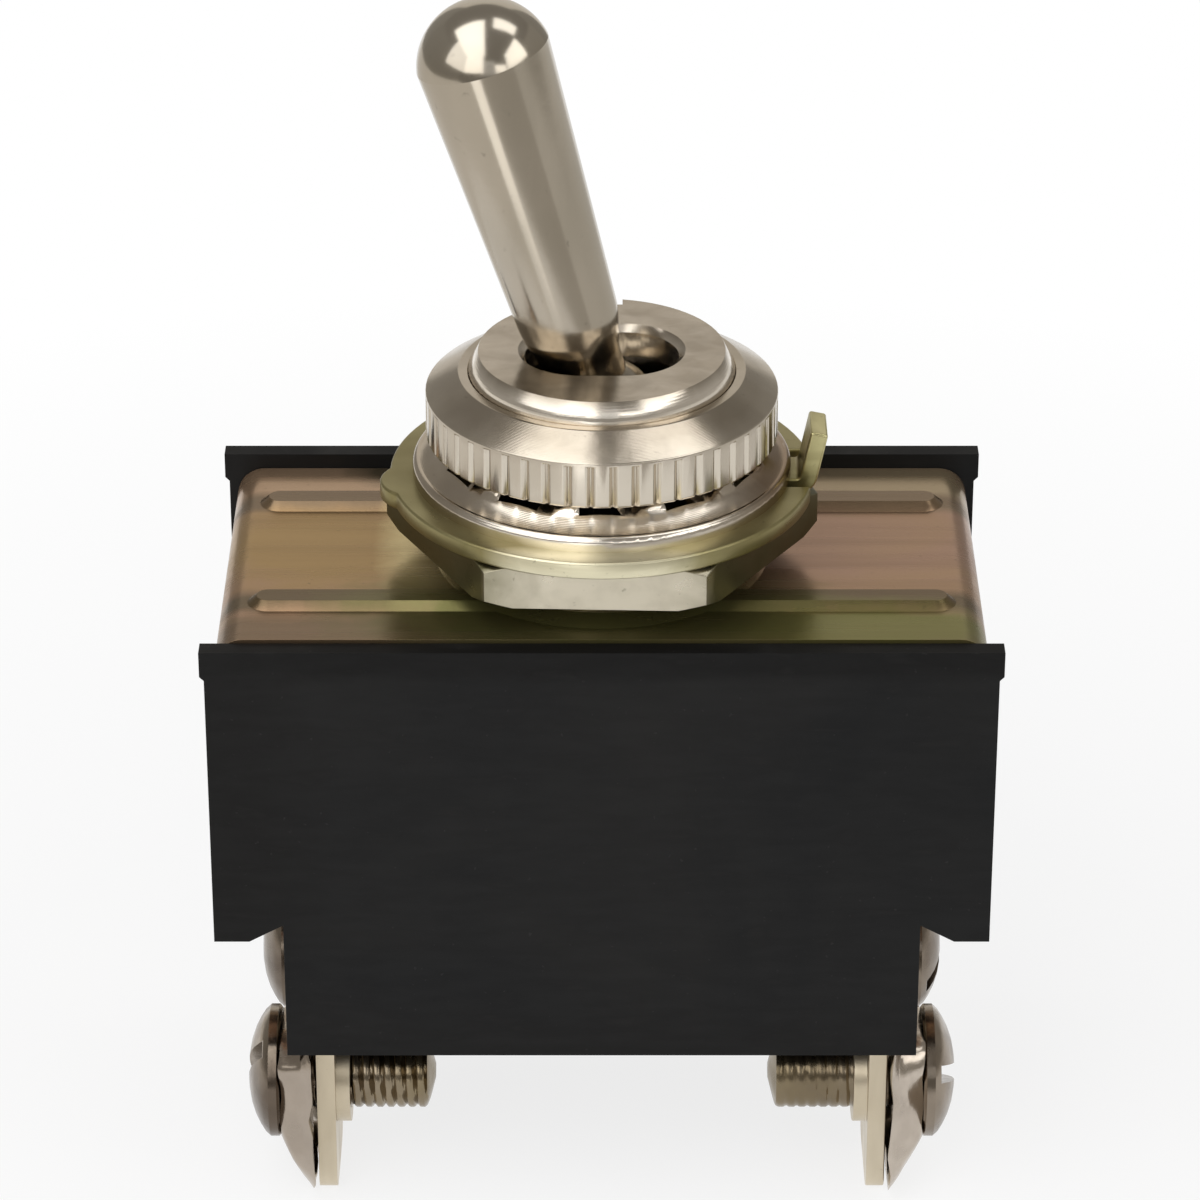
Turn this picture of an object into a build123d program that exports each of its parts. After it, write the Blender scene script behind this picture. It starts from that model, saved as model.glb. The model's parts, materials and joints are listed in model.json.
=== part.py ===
from build123d import *
from math import atan2, cos, pi, radians, sin, tan
import os

# Heavy-duty two-pole toggle switch. Millimetres, +Z up along the bush, +X the way the lever throws,
# origin on the bush's axis at the cover's top face. The rest pose has the lever thrown to -X.

# Fits and clearances
round_fit = 0.02          # radial, between round pieces that are fixed together
running_fit = 0.05        # radial, where a pin turns or slides
seat_gap = 0.05           # between pieces that are set side by side

# Pressed cover
sheet = 0.8
cover_length = 34.4
cover_depth = 17.3
cover_drop = 14.2         # from the top face to the fold under the base
cover_bend = 1.3
fold_length = 2.0
fold_width = 4.4
fold_offset = 4.6
bead_height = 0.35
bead_width = 1.9
bead_inset = 3.65         # from the bead's middle to the cover's long edge
bead_end = 1.3            # from the bead's end to the cover's end
boss_rim = 0.7            # boss outside the bush's collar
boss_height = 0.5
draft = 50                # slope of the pressed forms, in degrees from the pressing direction

# Moulded base
wall = 0.95
wall_overhang = 0.4       # wall beyond the cover's end
lip_overhang = 0.2        # lip beyond the wall's end
lip_height = 1.2
rear_wall_top = 0.7
front_wall_top = -0.15
shoulder_reach = 3.15     # shoulder beyond the neck
shoulder_flat = 1.6
shoulder_rise = 0.85
neck_height = 6.1
floor_thickness = 3.6
chamber_end_wall = 0.85
chamber_wall = 1.75
partition = 1.4
window_length = 17.0      # opening in the partition for the yoke's swing
window_drop = 3.0         # from the window's bottom to the rockers' pivots
flange_gap = 0.2

# Nuts and washers on the bush
hex_inset = 0.15          # hexagon's flats inside the cover's long edges
hex_thickness = 2.05
hex_rounding = 0.75       # circle turned on the hexagon's faces, outside its flats
hex_chamfer_angle = 30
hex_turn = -2
key_ring_overhang = 0.95  # ring beyond the cover's long edges
key_ring_thickness = 0.8
lug_radius = 1.9
lug_reach = 0.5
lug_angle = 188
ear_width = 2.4
ear_relief = 0.7
ear_inset = 0.35
ear_lean = 0.55
ear_height = 3.05
ear_bend = 0.6
tongue_width = 1.7
lock_inset = 0.08
lock_rim = 0.7
lock_rounding = 0.3
lock_crown = 1.6
lock_band = 1.47
lock_sheet = 0.55
tooth_count = 12
tooth_width = 1.9
tooth_twist = 24
tooth_thickness = 0.44
tooth_gap_width = 2.0     # notch between two teeth
tooth_gap_depth = 0.35
face_nut_inset = 0.63     # inside the lock washer's edge
knurl_height = 2.2
face_nut_crown = 0.92
face_nut_mouth = 0.45     # flat round the nut's thread
knurl_count = 50
knurl_depth = 0.22
knurl_share = 0.2         # half of a groove's width, as a share of the pitch
knurl_land = 0.18         # plain band between the grooves and the crown

# Threaded bush
bush_radius = 6.0
bush_chamfer = 0.45
bush_wall = 1.5
bush_roof = 1.5
mouth_flare = 0.7
mouth_height = 2.6
thread_end = 0.95         # bush above the face nut
slot_side = 0.7           # slot beside the lever's neck
stop_gap = 0.55
slot_chamfer = 0.3
collar_rim = 0.9
collar_top = 1.4
flange_inset = 0.35
flange_thickness = 1.2
keyway_width = 1.9
keyway_depth = 1.1

# Lever
pivot_depth = 3.53        # from the bush's top to the pivot
lever_lean = 16.4
hub_radius = 2.9
neck_radius = 1.8
neck_end = 3.3
grip_start = 5.1
grip_start_radius = 2.28
grip_end = 18.43
grip_end_radius = 3.0
dome_height = 2.45
stem_radius = 1.6
pin_radius = 0.9
pin_recess = 0.9

# Drive yoke and plungers
yoke_cap = 0.8            # above the plungers' bores
bore_depth = 4.4
yoke_length = 5.2
yoke_side_gap = 0.5
yoke_corner = 1.0
stem_cover = 1.6          # yoke below the lever's stem
plunger_reach = 2.2       # from the yoke to the centre of the ball end
plunger_length = 4.0
plunger_nose = 1.3
plunger_radius = 1.5
tip_radius = 1.0
tip_gap = 0.25            # between the ball end and its rocker, over the whole throw
tip_rise = 2.02           # centre of the ball end above the rocker's pivot, at mid throw
spring_wire = 0.34
spring_turns = 4

# Rocking contact bridges
rocker_lift = 4.5         # pivot above the chamber's floor
rocker_share = 8 / 15     # rocker tilt for each degree of lever
rocker_sheet = 0.8
rocker_width = 4.0
rocker_slope = 28
rocker_knee = 5.6
rocker_step = 1.2         # from the knee to the heel
rocker_heel_height = 0.25
rocker_contact_step = 2.0 # from the heel to the contact
rocker_tail = 1.6         # tail beyond the contact
rocker_bend = 0.6
rocker_notch_length = 1.7
rocker_notch_depth = 0.75
contact_radius = 1.4
contact_thickness = 0.5
rivet_radius = 0.6
rivet_head_radius = 1.0
rivet_head = 0.3

# Terminals
strip = 0.85
strip_width = 4.2
strip_bend = 0.7
strip_side_gap = 0.1
strip_end_gap = 0.375     # between a strip and the chamber's end wall
tab_width = 5.6
tab_corner = 1.0
tab_end = 5.1             # tab below the screw's axis
fulcrum_gap = 0.15
saddle_ear_height = 1.1
saddle_ear_width = 0.55
common_drop = 1.5         # from the rocker's pivot to the strip under it
contact_margin = 1.8      # strip inside the fixed contact's axis

# Terminal screws and clamp washers
screw_drop = 3.3          # from the base to the screw's axis
screw_radius = 1.75
screw_length = 7.2
screw_point = 0.3
screw_head_radius = 3.1
screw_head = 1.55
head_edge = 0.35          # head's straight edge, as a share of its height
head_arc = (0.72, 0.85)   # point on the dome, as shares of the head's radius and height
screw_slot = 0.8
screw_slot_depth = 0.75
tab_collar_wall = 0.65
tab_collar = 0.65
clamp_height = 1.75
clamp_sheet = 0.6
clamp_gap = 0.2           # between the clamp's foot and the tab
clamp_width = 7.6
clamp_top_gap = 0.3       # under the base
clamp_end_gap = 0.35      # above the tab's end
clamp_skirt = 0.5         # steep part of the sides, next to the tab
clamp_flare = 0.45
clamp_crown = (5.4, 5.0)
clamp_corner = 1.3
clamp_mouth = 3.0

# Sizes and places along the switch
half_depth = cover_depth / 2
wall_length = cover_length + 2 * wall_overhang
lip_length = wall_length + 2 * lip_overhang
neck_length = wall_length - 2 * shoulder_reach
chamber_length = neck_length - 2 * chamber_end_wall
tab_place = chamber_length / 2 - strip_end_gap - strip / 2
tab_face = tab_place + strip / 2
head_seat = tab_face + clamp_height
rocker_heel = rocker_knee + rocker_step
contact_place = rocker_heel + rocker_contact_step
rocker_end = contact_place + rocker_tail

# Sizes and places across the switch
wall_inside = half_depth + seat_gap
chamber_half_width = wall_inside + wall - chamber_wall
pole_offset = chamber_half_width - strip_side_gap - strip_width / 2
yoke_half_width = chamber_half_width - yoke_side_gap
flange_radius = half_depth - flange_inset
hex_flats = cover_depth - 2 * hex_inset
key_ring_radius = half_depth + key_ring_overhang
lock_radius = half_depth - lock_inset
face_nut_radius = lock_radius - face_nut_inset
collar_radius = bush_radius + collar_rim
boss_radius = collar_radius + boss_rim
bush_bore = bush_radius - bush_wall
bush_mouth = bush_bore + mouth_flare
pole_sides = {"front": -1, "rear": 1}
end_sides = {"left": -1, "right": 1}

# Heights up the bush
hex_top = collar_top + hex_thickness
ring_top = hex_top + key_ring_thickness
lock_rise = lock_crown - lock_sheet
tooth_level = lock_rise + lock_sheet / 4
tooth_top = (tooth_level + tooth_width / 2 * sin(radians(tooth_twist))
             + tooth_thickness / 2 * cos(radians(tooth_twist)))
face_nut_bottom = ring_top + tooth_top + seat_gap
bush_top = face_nut_bottom + knurl_height + face_nut_crown + thread_end
pivot_height = bush_top - pivot_depth
slot_half_length = (pivot_depth * tan(radians(lever_lean))
                    + neck_radius / cos(radians(lever_lean)) + stop_gap)

# Heights down the base
shoulder_underside = -cover_drop
shoulder_bottom = shoulder_underside - sheet
base_bottom = shoulder_bottom - neck_height
chamber_floor = base_bottom + floor_thickness
rocker_pivot = chamber_floor + rocker_lift
screw_height = base_bottom - screw_drop
tab_bottom = screw_height - tab_end

# Distances down the lever's axis from its pivot
plunger_tip = pivot_height - rocker_pivot - tip_rise
plunger_shoulder = plunger_tip - plunger_nose
plunger_top = plunger_tip - plunger_length
yoke_bottom = plunger_tip - plunger_reach
plunger_bore_top = yoke_bottom - bore_depth
yoke_top = plunger_bore_top - yoke_cap
stem_end = yoke_bottom - stem_cover

# The rocker's cradle follows the path that the ball end takes past the tilting rocker
rocker_tilt = lever_lean * rocker_share
path_across = plunger_tip - rocker_share * tip_rise
path_rise = (plunger_tip / 2 + rocker_share * plunger_tip - tip_rise * rocker_share**2 / 2)
rocker_curve = (path_across**2 / (2 * path_rise) + tip_radius + tip_gap + rocker_sheet / 2)
rocker_trough = tip_rise - tip_radius - tip_gap - rocker_sheet / 2

rest_pose = Pos(0, 0, pivot_height) * Rot(0, -lever_lean, 0)


def block(x0, x1, y0, y1, z0, z1):
    """A box between two corners."""
    centre = Pos((x0 + x1) / 2, (y0 + y1) / 2, (z0 + z1) / 2)
    return centre * Box(x1 - x0, y1 - y0, z1 - z0)


def turned(points):
    """A solid turned about +Z from radius and height pairs, closed along the axis."""
    return revolve(make_face(Plane.XZ * Polyline(*points, close=True)), Axis.Z)


def disc(radius, z0, z1):
    return Pos(0, 0, (z0 + z1) / 2) * Cylinder(radius, z1 - z0)


def folded_strip(points, bend, thickness, width):
    """Sheet of one thickness bent along a path in X and Z, as wide as width in Y.

    The bend is one radius, or a list with one for each corner."""
    section = trace(FilletPolyline(*points, radius=bend), line_width=thickness)
    return extrude(Plane.XZ * section, amount=width / 2, both=True)


def mirrored_ends(piece, side):
    """The piece as made for the +X end, or its mirror image at the -X end."""
    return piece if side > 0 else mirror(piece, about=Plane.YZ)


# Cover

def pressed_form(outline, height, sink):
    """A drafted plateau on the outline, starting sink below the cover's top face."""
    return Pos(0, 0, -sink) * extrude(outline, amount=height, taper=draft)


def make_cover():
    end = cover_length / 2 - sheet / 2
    fold = -cover_drop - sheet / 2
    legs = [(-end, fold), (-end, -sheet / 2), (end, -sheet / 2), (end, fold)]
    cover = folded_strip(legs, cover_bend - sheet / 2, sheet, cover_depth)
    bead_length = cover_length - 2 * bead_end
    bead = SlotOverall(bead_length, bead_width)
    bead_offset = half_depth - bead_inset
    outlines = [Pos(0, side * bead_offset) * bead for side in (-1, 1)]
    for outline in outlines:
        cover += pressed_form(outline, bead_height, 0)
    cover += pressed_form(Circle(boss_radius), boss_height, 0)
    for outline in outlines:
        cover -= pressed_form(offset(outline, -sheet / 4), bead_height, sheet)
    cover -= pressed_form(Circle(boss_radius - sheet / 4), boss_height, sheet)
    cover -= disc(collar_radius + round_fit, -2 * sheet, 2 * boss_height)
    for side in (-1, 1):
        for place in (-fold_offset, fold_offset):
            outer = side * (end + sheet / 2)
            inner = outer - side * fold_length
            cover += block(min(outer, inner), max(outer, inner), place - fold_width / 2,
                           place + fold_width / 2, fold - sheet / 2, fold + sheet / 2)
    return cover


# Base

def wall_outline(top):
    """One long T-shaped wall, seen from the front, with its lip, shoulders and narrow neck."""
    body, lip, neck = wall_length / 2, lip_length / 2, neck_length / 2
    half = [
        (lip, top),
        (lip, top - lip_height),
        (body, top - lip_height - (lip - body)),
        (body, shoulder_bottom),
        (body - shoulder_flat, shoulder_bottom),
        (neck, shoulder_bottom + shoulder_rise),
        (neck, base_bottom),
    ]
    mirrored = [(-x, z) for x, z in reversed(half)]
    return make_face(Plane.XZ * Polyline(*half, *mirrored, close=True))


def terminal_slot(pole, end):
    half = strip / 2 + seat_gap
    across = strip_width / 2 + seat_gap
    x, y = end * tab_place, pole * pole_offset
    return block(x - half, x + half, y - across, y + across,
                 base_bottom - 1, chamber_floor + 1)


def make_base():
    core_half = cover_length / 2 - sheet - seat_gap
    neck = neck_length / 2
    corner = cover_bend - sheet + seat_gap
    outline = [(core_half - corner, -sheet), (core_half, -sheet - corner),
               (core_half, shoulder_underside), (neck, shoulder_underside), (neck, base_bottom)]
    outline += [(-x, z) for x, z in reversed(outline)]
    core = make_face(Plane.XZ * Polyline(*outline, close=True))
    base = extrude(core, amount=wall_inside + wall / 2, both=True)
    for pole, top in ((-1, front_wall_top), (1, rear_wall_top)):
        panel = extrude(wall_outline(top), amount=wall, dir=(0, pole, 0))
        base += Pos(0, pole * wall_inside, 0) * panel
    chamber = block(-chamber_length / 2, chamber_length / 2, partition / 2, chamber_half_width,
                    chamber_floor, 1)
    base -= chamber
    base -= mirror(chamber, about=Plane.XZ)
    base -= block(-window_length / 2, window_length / 2, -partition, partition,
                  rocker_pivot + window_drop, 1)
    base -= disc(flange_radius + flange_gap, -sheet - flange_thickness - flange_gap / 2, 1)
    for pole in pole_sides.values():
        base += ledges(pole)
        for end in end_sides.values():
            base -= terminal_slot(pole, end)
    return base


def ledges(pole):
    """The two moulded ledges that carry a pole's strips above the chamber's floor."""
    inner, outer = partition / 2, chamber_half_width
    low, high = (inner, outer) if pole > 0 else (-outer, -inner)
    face = tab_place - strip / 2 - strip_bend
    common = block(-face, strip_bend + strip, low, high, chamber_floor - 1, common_top() - strip)
    contact = block(contact_place - contact_margin, face, low, high, chamber_floor - 1,
                    contact_strip_top() - strip)
    return common + contact


# Bush with its nuts and washers

def make_bushing():
    under = -sheet - flange_thickness
    rim = bush_radius - bush_chamfer
    bush = turned([
        (bush_mouth, under),
        (flange_radius, under),
        (flange_radius, -sheet),
        (collar_radius, -sheet),
        (collar_radius, collar_top),
        (bush_radius, collar_top),
        (bush_radius, bush_top - 2 * bush_chamfer),
        (rim, bush_top),
        (0, bush_top),
        (0, bush_top - bush_roof),
        (bush_bore, bush_top - bush_roof),
        (bush_bore, under + mouth_height),
    ])
    slot = SlotOverall(2 * slot_half_length, 2 * (neck_radius + slot_side))
    bush -= Pos(0, 0, bush_top - 2 * bush_roof) * extrude(slot, amount=3 * bush_roof)
    edge = extrude(slot, amount=2 * slot_chamfer, taper=-45)
    bush -= Pos(0, 0, bush_top - slot_chamfer) * edge
    keyway_floor = bush_radius - keyway_depth
    bush -= block(-keyway_width / 2, keyway_width / 2, keyway_floor, 2 * bush_radius,
                  collar_top, bush_top + 1)
    bush -= Pos(0, 0, pivot_height) * Rot(90, 0, 0) * Cylinder(pin_radius, 4 * bush_radius)
    return bush


def make_hex_nut():
    """A hexagon turned down by a cone from each face, which leaves lens-shaped flats."""
    blank = extrude(RegularPolygon(hex_flats / 2, 6, major_radius=False), amount=hex_thickness)
    hex_turned_radius = hex_flats / 2 + hex_rounding
    cone_edge = hex_turned_radius + hex_thickness / 2 / tan(radians(hex_chamfer_angle))
    turning = turned([
        (0, 0),
        (hex_turned_radius, 0),
        (cone_edge, hex_thickness / 2),
        (hex_turned_radius, hex_thickness),
        (0, hex_thickness),
    ])
    nut = (Rot(0, 0, hex_turn) * blank) & turning
    nut -= disc(bush_radius + round_fit, -1, hex_thickness + 1)
    return Pos(0, 0, collar_top) * nut


def make_keyed_washer():
    ring = disc(key_ring_radius, 0, key_ring_thickness)
    turn = radians(lug_angle)
    centre = key_ring_radius + lug_reach - lug_radius
    ring += Pos(centre * cos(turn), centre * sin(turn), 0) * disc(lug_radius, 0, key_ring_thickness)
    ring -= disc(bush_radius + 2 * round_fit, -1, key_ring_thickness + 1)
    tongue_inside = bush_radius - keyway_depth + 2 * seat_gap
    ring += block(-tongue_width / 2, tongue_width / 2, tongue_inside, bush_radius + 1,
                  0, key_ring_thickness)
    cleared = ear_width / 2 + ear_relief
    ear_foot = key_ring_radius - ear_inset
    foot = ear_foot - 2 * key_ring_thickness
    ring -= block(foot, 2 * key_ring_radius, -cleared, cleared, -1, key_ring_thickness + 1)
    middle = key_ring_thickness / 2
    path = [(foot - 1, middle), (ear_foot, middle), (ear_foot + ear_lean, ear_height)]
    ring += folded_strip(path, ear_bend, key_ring_thickness, ear_width)
    return Pos(0, 0, hex_top) * ring


def make_lock_washer():
    """A dished ring with teeth that are twisted out of its plane."""
    lock_inner_radius = lock_radius - lock_band
    ring = turned([
        (lock_inner_radius, lock_rise),
        (lock_radius - lock_rim / 2, 0),
        (lock_radius, 0),
        (lock_radius, lock_rim),
        (lock_radius - lock_rim / 2, lock_rim),
        (lock_inner_radius, lock_crown),
    ])
    outer_edges = ring.edges().filter_by(GeomType.CIRCLE).group_by(SortBy.RADIUS)[-1]
    ring = fillet(outer_edges.sort_by(Axis.Z)[-1], lock_rounding)
    root = lock_inner_radius + lock_sheet / 2
    length = root - bush_radius - 6 * round_fit
    blade = Box(length, tooth_width, tooth_thickness)
    gap = block(0, lock_inner_radius + tooth_gap_depth, -tooth_gap_width / 2,
                tooth_gap_width / 2, -1, 2 * lock_crown)
    for i in range(tooth_count):
        ring -= Rot(0, 0, i * 360 / tooth_count) * gap
        place = Rot(0, 0, (i + 0.5) * 360 / tooth_count) * Pos(root - length / 2, 0, tooth_level)
        ring += place * Rot(tooth_twist, 0, 0) * blade
    return Pos(0, 0, ring_top) * ring


def make_face_nut():
    edge = knurl_depth / 2
    nut = turned([
        (bush_radius + round_fit, 0),
        (face_nut_radius - edge, 0),
        (face_nut_radius, edge),
        (face_nut_radius, knurl_height),
        (bush_radius + face_nut_mouth, knurl_height + face_nut_crown),
        (bush_radius + round_fit, knurl_height + face_nut_crown),
    ])
    pitch = 2 * pi * face_nut_radius / knurl_count
    groove = make_face(Polyline(
        (face_nut_radius - knurl_depth, 0),
        (face_nut_radius + knurl_depth, 2 * pitch * knurl_share),
        (face_nut_radius + knurl_depth, -2 * pitch * knurl_share),
        close=True,
    ))
    cutter = extrude(groove, amount=knurl_height - knurl_land)
    grooves = [Rot(0, 0, i * 360 / knurl_count) * cutter for i in range(knurl_count)]
    nut -= grooves
    return Pos(0, 0, face_nut_bottom) * nut


# Lever, pin, yoke and plungers, drawn upright about the pivot

def make_lever():
    with BuildPart() as turned_lever:
        with BuildSketch(Plane.XZ):
            with BuildLine():
                start = (0, grip_end + dome_height)
                shoulder = (grip_end_radius, grip_end)
                Line((0, 0), start)
                ThreePointArc(start, dome_point(), shoulder)
                Line(shoulder, (grip_start_radius, grip_start))
                Line((grip_start_radius, grip_start), (neck_radius, neck_end))
                neck_foot = (hub_radius**2 - neck_radius**2) ** 0.5
                Line((neck_radius, neck_end), (neck_radius, neck_foot))
                ThreePointArc((neck_radius, neck_foot), (hub_radius, 0),
                              (stem_radius, -stem_foot()))
                Line((stem_radius, -stem_foot()), (stem_radius, -stem_end))
                Line((stem_radius, -stem_end), (0, -stem_end))
                Line((0, -stem_end), (0, 0))
            make_face()
        revolve(axis=Axis.Z)
    lever = turned_lever.part
    lever -= Rot(90, 0, 0) * Cylinder(pin_radius + running_fit, 4 * hub_radius)
    return rest_pose * lever


def dome_point():
    """A point half way round the dome, on the circle through its tip and its shoulders."""
    radius = (grip_end_radius**2 + dome_height**2) / (2 * dome_height)
    centre = grip_end + dome_height - radius
    half_turn = atan2(grip_end_radius, grip_end - centre) / 2
    return (radius * sin(half_turn), centre + radius * cos(half_turn))


def stem_foot():
    return (hub_radius**2 - stem_radius**2) ** 0.5


def make_pivot_pin():
    pin = Cylinder(pin_radius, 2 * (bush_radius - pin_recess))
    return Pos(0, 0, pivot_height) * Rot(90, 0, 0) * pin


def make_drive_yoke():
    outline = RectangleRounded(yoke_length, 2 * yoke_half_width, yoke_corner)
    yoke = Pos(0, 0, -yoke_bottom) * extrude(outline, amount=yoke_bottom - yoke_top)
    yoke -= disc(stem_radius + round_fit, -stem_end, -yoke_top + 1)
    for pole in pole_sides.values():
        bore = disc(plunger_radius + running_fit, -yoke_bottom - 1, -plunger_bore_top)
        yoke -= Pos(0, pole * pole_offset, 0) * bore
    return rest_pose * yoke


def make_plunger(pole):
    nose = tip_radius * cos(radians(45))
    with BuildPart() as part:
        with BuildSketch(Plane.XZ):
            with BuildLine():
                Line((0, -plunger_top), (plunger_radius, -plunger_top))
                Line((plunger_radius, -plunger_top), (plunger_radius, -plunger_shoulder))
                Line((plunger_radius, -plunger_shoulder), (tip_radius, -plunger_tip))
                ThreePointArc((tip_radius, -plunger_tip), (nose, -plunger_tip - nose),
                              (0, -plunger_tip - tip_radius))
                Line((0, -plunger_tip - tip_radius), (0, -plunger_top))
            make_face()
        revolve(axis=Axis.Z)
    return rest_pose * Pos(0, pole * pole_offset, 0) * part.part


def make_plunger_spring(pole):
    radius = plunger_radius - spring_wire / 2 - running_fit
    room = plunger_top - plunger_bore_top - spring_wire - 2 * seat_gap
    coil = Helix(pitch=room / spring_turns, height=room, radius=radius)
    section = Plane(origin=coil @ 0, z_dir=coil % 0) * RegularPolygon(spring_wire / 2, 8)
    spring = sweep(section, path=coil, is_frenet=True)
    foot = -plunger_top + spring_wire / 2 + seat_gap
    return rest_pose * Pos(0, pole * pole_offset, foot) * spring


# Contact bridges, drawn level about their pivot

def rocker_place(pole):
    return Pos(0, pole * pole_offset, rocker_pivot) * Rot(0, rocker_tilt, 0)


def rocker_end_height():
    return rocker_heel_height + (rocker_end - rocker_heel) * tan(radians(rocker_tilt))


def contact_height():
    """Mid-height of the rocker's tail where its contact is riveted."""
    return rocker_heel_height + (contact_place - rocker_heel) * tan(radians(rocker_tilt))


def make_rocker(pole):
    slope = radians(rocker_slope)
    vertex = rocker_trough - rocker_curve * (1 / cos(slope) - 1)
    arm = [(rocker_knee, vertex + rocker_knee * tan(slope)), (rocker_heel, rocker_heel_height),
           (rocker_end, rocker_end_height())]
    path = [(-x, z) for x, z in reversed(arm)] + [(0, vertex)] + arm
    bends = [rocker_bend, rocker_bend, rocker_curve, rocker_bend, rocker_bend]
    rocker = folded_strip(path, bends, rocker_sheet, rocker_width)
    for side in (-1, 1):
        edge = rocker_width / 2
        inner = edge - rocker_notch_depth
        rocker -= block(-rocker_notch_length / 2, rocker_notch_length / 2,
                        min(side * inner, side * edge * 2), max(side * inner, side * edge * 2),
                        -2, 2)
    rocker -= contact_axis() * Cylinder(rivet_radius + round_fit, 4 * rocker_sheet)
    return rocker_place(pole) * rocker


def contact_axis():
    """Where the moving contact's rivet goes through the rocker's right tail."""
    return Pos(contact_place, 0, contact_height()) * Rot(0, -rocker_tilt, 0)


def make_moving_contact(pole):
    under = -rocker_sheet / 2
    rivet = turned([
        (0, under - contact_thickness),
        (contact_radius, under - contact_thickness),
        (contact_radius, under),
        (rivet_radius, under),
        (rivet_radius, -under),
        (rivet_head_radius, -under),
        (rivet_radius, -under + rivet_head),
        (0, -under + rivet_head),
    ])
    return rocker_place(pole) * contact_axis() * rivet


def contact_face():
    """Place of the moving contact's lower face at rest, in X and Z."""
    tilt = radians(rocker_tilt)
    x = contact_place * cos(tilt) + contact_height() * sin(tilt)
    z = contact_height() * cos(tilt) - contact_place * sin(tilt)
    return x, rocker_pivot + z - rocker_sheet / 2 - contact_thickness


def contact_strip_top():
    return contact_face()[1] - seat_gap - contact_thickness


def common_top():
    return rocker_pivot - common_drop


def make_fixed_contact(pole):
    top = contact_strip_top()
    rivet = turned([
        (0, top - strip),
        (rivet_radius, top - strip),
        (rivet_radius, top),
        (contact_radius, top),
        (contact_radius, top + contact_thickness),
        (0, top + contact_thickness),
    ])
    return Pos(contact_face()[0], pole * pole_offset, 0) * rivet


# Terminals

def screw_tab(pole, end):
    """The tab below the base, with its extruded collar and screw hole."""
    height = base_bottom - tab_bottom
    outline = Rectangle(tab_width, height)
    outline = fillet(outline.vertices().sort_by(Axis.Y)[:2], tab_corner)
    middle = (base_bottom + tab_bottom) / 2
    inner_face = tab_face - strip
    tab = Plane(origin=(inner_face, 0, middle), x_dir=(0, 1, 0), z_dir=(1, 0, 0)) * outline
    tab = extrude(tab, amount=strip)
    collar = Cylinder(screw_radius + tab_collar_wall, tab_collar + strip / 2)
    inside = tab_place - (tab_collar + strip / 2) / 2
    tab += Pos(inside, 0, screw_height) * Rot(0, 90, 0) * collar
    tab -= screw_line() * Cylinder(screw_radius + round_fit, 6 * strip)
    return Pos(0, pole * pole_offset, 0) * mirrored_ends(tab, end)


def screw_line():
    return Pos(tab_place, 0, screw_height) * Rot(0, 90, 0)


def make_contact_terminal(pole):
    level = contact_strip_top() - strip / 2
    path = [(tab_place, base_bottom), (tab_place, level), (contact_place - contact_margin, level)]
    terminal = folded_strip(path, strip_bend, strip, strip_width)
    x = contact_face()[0]
    terminal -= Pos(x, 0, level) * Cylinder(rivet_radius + round_fit, 2 * strip)
    return Pos(0, pole * pole_offset, 0) * terminal + screw_tab(pole, 1)


def make_common_terminal(pole):
    level = common_top() - strip / 2
    top = rocker_pivot - fulcrum_gap + rocker_trough - rocker_sheet / 2
    path = [(-tab_place, base_bottom), (-tab_place, level), (0, level), (0, top)]
    terminal = folded_strip(path, strip_bend, strip, strip_width)
    edge = strip_width / 2
    for side in (-1, 1):
        low, high = sorted((side * (edge - saddle_ear_width), side * edge))
        terminal += block(-strip / 2, strip / 2, low, high, common_top(),
                          rocker_pivot + saddle_ear_height)
    return Pos(0, pole * pole_offset, 0) * terminal + screw_tab(pole, -1)


# Terminal screws and clamp washers, drawn for the +X end

def make_terminal_screw(pole, end):
    seat = head_seat - tab_place
    edge = (screw_head_radius, seat + screw_head * head_edge)
    arc = (screw_head_radius * head_arc[0], seat + screw_head * head_arc[1])
    tip = (0, seat + screw_head)
    with BuildPart() as part:
        with BuildSketch(Plane.XZ):
            with BuildLine():
                inner = seat - screw_length
                Line((0, inner), (screw_radius - screw_point, inner))
                Line((screw_radius - screw_point, inner), (screw_radius, inner + screw_point))
                Line((screw_radius, inner + screw_point), (screw_radius, seat))
                Line((screw_radius, seat), (screw_head_radius, seat))
                Line((screw_head_radius, seat), edge)
                ThreePointArc(edge, arc, tip)
                Line(tip, (0, inner))
            make_face()
        revolve(axis=Axis.Z)
    screw = part.part
    top = seat + screw_head
    screw -= block(-screw_head_radius, screw_head_radius, -screw_slot / 2, screw_slot / 2,
                   top - screw_slot_depth, top + 1)
    return Pos(0, pole * pole_offset, 0) * mirrored_ends(screw_line() * screw, end)


def clamp_section(place, middle, width, height, inset):
    """A rounded section of the clamp across the screw's axis, as large as it is or set in."""
    corner = clamp_corner - inset / 2
    outline = RectangleRounded(width - 2 * inset, height - 2 * inset, corner)
    return Plane(origin=(place, 0, middle), x_dir=(0, 1, 0), z_dir=(1, 0, 0)) * outline


def clamp_form(inset, crown_place):
    """The clamp's outside, or its hollow, which is set in from it by the sheet."""
    foot = tab_face + clamp_gap
    top, bottom = base_bottom - clamp_top_gap, tab_bottom + clamp_end_gap
    middle, height = (top + bottom) / 2, top - bottom
    return loft([
        clamp_section(foot, middle, clamp_width, height, inset),
        clamp_section(foot + clamp_skirt, middle, clamp_width - 2 * clamp_flare,
                      height - 2 * clamp_flare, inset),
        clamp_section(crown_place, screw_height, *clamp_crown, inset),
    ], ruled=True)


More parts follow.
